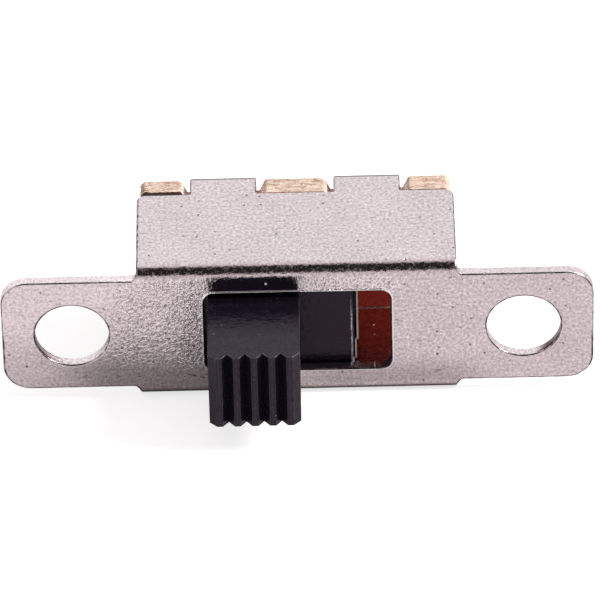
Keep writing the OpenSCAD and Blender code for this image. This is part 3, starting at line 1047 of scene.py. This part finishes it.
# Painted shade: in the middle of each fold over its crazing, along the tabs' folds and the lower
# fold, where the walls' ends meet the board, and on the right hole's lower right wall over its torn
# zone. bore: round the holes.
crazed_fold_shade = g.step(attribute(g, "bend"), 0.86, 0.99) * g.step(grain, 0.3, 0.6) * 0.5
tab_fold_shade = g.band((tall - tab_fold) / fold_length, 0.08, 0.16, 0.42, 0.6) * (0.45 + grain * 0.7)
lower_fold_shade = g.band(0 - v, 2.28, 2.38, 2.6, 2.7) * 0.85
off_tab = abs(aside - TAB_X) > TAB_HALF - 0.02
# Painted shade where the walls' ends meet the board, between the tabs.
gap = (tall > wall_end - 0.005 - grain * 0.05 * (u < -3.3)) * (tall < wall_end + 0.02) * off_tab
bore = spot(g, aside - HOLE_X, v, 1.483, 1.517)
# Painted shade on the right hole's lower right wall, over its torn zone.
torn = (cut > 0.9) * bore * g.step(u, HOLE_X + 0.4, HOLE_X + 0.8) * (1 - g.step(v, 0.0, 0.5))
# Painted shade widens the dark cut-edge line on edges that face down, and along the left wall's
# edge.
downward_shade = g.step(v * (bore * 2 - 1), -0.3, 0.3)
downward_shade = downward_shade.high(g.band(tall, 2.5, 2.7, wall_end - 0.2, wall_end) * (u < 0))
rim = g.band(cut, 0.30 - downward_shade * 0.29, 0.44 - downward_shade * 0.34, 0.55 + downward_shade * 0.3, 0.80 + downward_shade * 0.15)
rim = rim * (w < 0.2) * g.step(grain, 0.25, 0.50)
rim = rim * (0.45 + g.step(g.noise(p, 3.0, 2.0, 0.6), 0.40, 0.56) * 0.55)
dark = (rim * 0.95).high(gap).high(gouge * 0.9).high(crazed_fold_shade).high(tab_fold_shade).high(lower_fold_shade)
dark = dark.high(torn * (0.55 + grain * 0.6))

# %% Nickel: colour, gloss and bump
tone = grain * 1.94 + rolled * 0.28 + (cloud - 0.5) * 0.24 + (cut > 0.9) * 0.1 - 0.15
# Paler ridges and darker creases, painted light on the upper left, and painted shade low down and
# beside the window.
tone = tone * (1 + pressed * (ridges_and_highlights * 1.2 - creases_and_shade * 0.60 + 0.03) + painted_light_left * 0.20 - painted_shade_low * 0.30
               - beside_crinkle_and_shade * 0.18)
colour = g.mix(cloud, (0.74, 0.645, 0.67, 1), (0.72, 0.635, 0.655, 1)) * tone.low(1.4)
colour = g.mix((pits * 0.9).high(nicks * 0.7), colour, (0.10, 0.085, 0.08, 1))
colour = g.mix(dust_speck_glint.high(glint_hairs * 0.8), colour, (1.0, 0.95, 0.95, 1))
# Painted shade: the fold band darker and warmer, then the dark lines and painted shade gathered
# above.
colour = g.mix(fold_band_shade * 0.52, colour, (0.38, 0.25, 0.27, 1))
colour = g.mix(dark, colour, (0.05, 0.035, 0.04, 1))
# Painted highlight: the burr lip is made paler than the nickel.
colour = g.mix(burr_lip_highlight, colour, (1.0, 0.96, 0.945, 1))
rough = (0.08 + grain * 0.06 + cut.high(0) * 0.14 + pits * 0.3 + burr_lip_highlight * 0.12 + dust_speck_glint * 0.5
         + glint_hairs * 0.4 + flecks * 0.23)
height = (grain * (0.30 + worked * 0.6 + cut.high(0) * 0.5)
          + peel * (0.4 + pressed * 1.5 + worked * 0.7)
          + (ridges_and_highlights - creases_and_shade * 0.6) * pressed * (0.4 + beside_crinkle_and_shade * 0.5) + rolled * 0.25 - pits * 0.8)
dress(g, Base_Color=colour, Metallic=1 - dust_speck_glint.high(glint_hairs * 0.6), Roughness=rough,
      Normal=bumps(g, height, 0.016))

# %% [markdown]
# ## Black moulding
#
# The slider is acetal, a slippery plastic moulded nearly black. Its colour is
# so dark that the gloss does all the work: the top of the knob shows grey where
# it mirrors the room and black where it mirrors the plate. Fingers leave a grey
# bloom on the outer half, most of it along the middle of each rib's crest and
# none in the grooves, and they rub the edges paler, which is painted on as a
# sheen as well. A painted highlight with glints runs along the tip's upper edge,
# and another down the slider's end corner. The thin fins are whitened, as bent
# or torn plastic is. A few scuffs and specks of dust lie over it all.

# %% Plastic: where it is worn and handled, and its painted highlights
g = plastic_graph
p = millimetres(g)
x, y, z = g.split(p)
edge = attribute(g, "edge")
skin = g.noise(p, 9.0, 3.0, 0.6)
flow = g.noise(p, 1.3, 2.0, 0.5)
ripple = g.noise(p, 4.5, 2.0, 0.6)
drawn = g.noise(p, 1.0, 2.0, 0.6, (15.0, 1.6, 1.6))
end_x = slider_x + half_l
groove_y = slider_lo[1] + RIB_DEPTH
groove = (y > slider_lo[1] + 0.02) * (y < groove_y) * (z < KNOB_HALF_H - 0.02)
scuffs = hairlines(g, p, 2.2, 0.008, (1.0, 0.8, 0.45)) * g.step(g.noise(p, 1.1), 0.52, 0.60)
dust = specks(g, p, 4.0, 0.04, 0.06)
# The slider's right end: a painted highlight down its corner, and its flash fins. mound: a crest's
# middle. Along the tip's upper edge, a painted highlight with glints.
corner = 1 - g.step(abs(x - end_x), 0.004, 0.018)
fins = g.step(x, end_x + 0.015, end_x + 0.03) * (y < FRONT_Y + 0.16)
whitened_flash_and_highlight = (corner * 0.12).high(fins) * g.step(flow, 0.30, 0.45) * (y < FRONT_Y + 0.3)
beat = (x - slider_x) * (1 / rib_pitch) + 0.5
off_crest = abs(beat - g.math("FLOOR", beat) - 0.5)
outer_rib = abs(x - slider_x) > rib_pitch * 1.75
mound = (1 - g.step(off_crest, 0.03, 0.21)).high(outer_rib * 0.45)
haze = 0.12 + g.step(g.noise(p, 3.0, 3.0, 0.6, (2.6, 1.0, 0.8)), 0.30, 0.70) * 0.30
haze = (haze + (y < slider_lo[1] + 0.02) * (mound * 0.75 - 0.40)).high(0)
bloom = haze + g.step(g.noise(p, 11.0, 2.0, 0.7), 0.45, 0.70) * 0.12
bloom = bloom * (0.15 + (1 - g.step(y, -2.2, -1.3)) * 0.85) * (1 - groove * 0.9)
# Rounded edges out of the plate, paler from rubbing, with a painted sheen.
worn_edge_sheen = edge * g.step(ripple, 0.36, 0.60) * (y < 0.3)
brow_highlight = edge * (y < groove_y + 0.1) * (z > KNOB_HALF_H - 0.12)
glints = g.step(g.noise(p, 5.0, 2.0, 0.6), 0.57, 0.63)

# %% Plastic: colour, gloss and bump
colour = g.mix(skin, (0, 0, 0.0010, 1), (0.0030, 0.0020, 0.0060, 1))
colour = g.mix(bloom * 0.8, colour, (0.032, 0.028, 0.037, 1))
colour = colour + g.mix(drawn, (0, 0, 0, 1), (0.006, 0.0045, 0.0075, 1))
# Painted sheen on the worn edges, and painted highlights on the tip's upper edge and the end
# corner.
colour = g.mix(worn_edge_sheen * 0.75, colour, (0.050, 0.043, 0.056, 1))
colour = g.mix(brow_highlight * (0.20 + glints * 0.6), colour, (0.16, 0.14, 0.17, 1))
colour = g.mix(whitened_flash_and_highlight, colour, (0.50, 0.44, 0.45, 1))
colour = g.mix(scuffs * (1 - groove) * 0.12, colour, (0.10, 0.095, 0.11, 1))
colour = g.mix(dust * (1 - groove * 0.6) * 0.5, colour, (0.40, 0.38, 0.42, 1))
rough = 0.12 + skin * 0.14 + bloom * 0.12 + scuffs * 0.2 + dust * 0.3 + whitened_flash_and_highlight * 0.3
height = skin * 0.6 + ripple * 1.1 + flow * 1.6 + bloom * 0.3 - scuffs * 0.3 + dust * 0.5
dress(g, Base_Color=colour, Roughness=rough, IOR=1.46, Specular_IOR_Level=0.34,
      Specular_Tint=(0.97, 0.74, 1.0, 1), Normal=bumps(g, height, 0.012))

# %% [markdown]
# ## Paper laminate
#
# The board is layers of paper set in a red-brown resin. Its two faces are
# glossy resin. Where the press tore through the layers the pale fibres show,
# in fine lines that run along the layers, with a few brown cracks. Down in the
# notches they are painted paler, as painted light against the shade of the walls
# and tabs. Where the outer teeth leave the walls a ragged dark line of painted
# shade follows the metal. The outline's `cut` attribute tells face and edge apart.

# %% Laminate: resin, torn paper, and painted light and shade
laminate, g = material("paper_laminate")
p = millimetres(g)
x, y, z = g.split(p)
torn_edge = g.step(attribute(g, "cut"), 0.35, 0.95)
resin = g.noise(p, 2.5, 3.0, 0.6)
mottle = g.noise(p, 16.0, 2.0, 0.6)
sheets = g.noise(p, 1.0, 3.0, 0.65, (1.6, 13.0, 1.6))
fibres = hairlines(g, p, 3.2, 0.045, (1.0, 2.4, 1.0))
cracks = hairlines(g, p, 3.0, 0.035, (0.8, 2.2, 0.8)) * g.step(g.noise(p, 2.2), 0.42, 0.54)
below = abs(z)
# Painted light: the paper down in the notches is made paler, against the shade of the walls and
# tabs.
notch = (1 - g.step(below, top - 0.12, top - 0.03)) * (below > 2.0) * (abs(x) < 4.5)
left = x < -3.4
# Painted shade: a ragged dark, metallic line along the teeth's front edge, where they leave the
# walls.
line_y = board_lo[1] + 0.015 + left * 0.05 + g.noise(p, 5.0, 2.0, 0.6) * (0.04 + left * 0.14)
wall_foot_shade = g.step(line_y - y, 0.0, 0.02) * left.high((x > 3.4) * 0.8).high(0.4)
wall_foot_shade = wall_foot_shade * (below > SEAT_Z + 0.02) * torn_edge

# %% Laminate: colour, gloss and bump
face = g.mix(resin, (0.28, 0.020, 0.010, 1), (0.39, 0.034, 0.015, 1)) * (0.90 + mottle * 0.3)
paper = g.mix(g.step(sheets, 0.30, 0.70), (0.60, 0.36, 0.25, 1), (1.0, 0.80, 0.66, 1))
paper = paper * (0.50 + mottle * 0.95)
paper = g.mix(fibres * 0.6, paper, (1.0, 0.93, 0.84, 1))
# Painted light in the notches, and painted shade along the walls' foot.
paper = g.mix(notch * 0.75, paper, (1.0, 0.80, 0.72, 1))
paper = g.mix(cracks * 0.85, paper, (0.36, 0.15, 0.07, 1))
colour = g.mix(wall_foot_shade * 0.95, g.mix(torn_edge, face, paper), (0.018, 0.010, 0.010, 1))
height = mottle * 0.2 + (sheets * 1.5 + fibres * 0.5 - cracks * 1.0) * torn_edge
dress(g, Base_Color=colour, Metallic=wall_foot_shade * 0.9, Roughness=0.24 + torn_edge * 0.5 + mottle * 0.06,
      IOR=1.53, Normal=bumps(g, height, 0.014))
board_mesh.materials.append(laminate)

# %% [markdown]
# ## Tinned brass and silvered bronze
#
# The terminals are stamped from tinned brass strip. The tin is soft and greyer
# than nickel, with a satin grain drawn along the pin, and the cut edges show a
# little of the yellow brass. The clip inside is bronze under a thin silver
# skin, which tarnishes in patches to a faint warm tone.

# %% Tin
g = tin_graph
p = millimetres(g)
drawn = g.noise(p, 1.0, 3.0, 0.6, (14.0, 1.2, 14.0))
cloud = g.noise(p, 1.4, 2.0, 0.5)
bare = g.step(attribute(g, "cut") * 0.8 + cloud * 0.5, 0.75, 1.15)
colour = g.mix(cloud, (0.66, 0.65, 0.62, 1), (0.76, 0.75, 0.72, 1)) * (0.9 + drawn * 0.2)
colour = g.mix(bare * 0.7, colour, (0.66, 0.47, 0.20, 1))
dress(g, Base_Color=colour, Metallic=1.0, Roughness=0.24 + drawn * 0.14,
      Normal=bumps(g, drawn + cloud * 1.5, 0.010))

# %% Silver
g = silver_graph
p = millimetres(g)
drawn = g.noise(p, 1.0, 3.0, 0.6, (1.2, 12.0, 12.0))
tarnish = g.noise(p, 0.9, 3.0, 0.6)
colour = g.mix(g.step(tarnish, 0.45, 0.7), (0.86, 0.84, 0.80, 1), (0.70, 0.58, 0.42, 1))
dress(g, Base_Color=colour * (0.92 + drawn * 0.16), Metallic=1.0,
      Roughness=0.18 + tarnish * 0.2, Normal=bumps(g, drawn, 0.008))

# %% [markdown]
# ## Hand the pieces over
#
# Each piece rides on the body that carries it, so that the knob slides with its
# clip while the frame, board and terminals stay. Each one also says which fixed
# part it stands for and which finish of the record it takes.

# %% Ride and replace; the table also names each one's finish slot
HANDOVER = (
    (frame_sheet, "housing", "nickel_plated_steel", ["frame"]),
    (board_piece, "housing", "laminate", ["terminal_board"]),
    (terminals, "housing", "tinned_brass", ["terminal_left", "terminal_common", "terminal_right"]),
    (slider, "sliding_contact", "black_plastic", ["slider"]),
    (clip, "sliding_contact", "silvered_bronze", ["contact_clip"]),
)
for piece, body, slot, nodes in HANDOVER:
    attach(piece, body)
    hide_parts(*nodes)
    print(piece.name, "rides on", body, "with", len(piece.data.polygons), "faces")
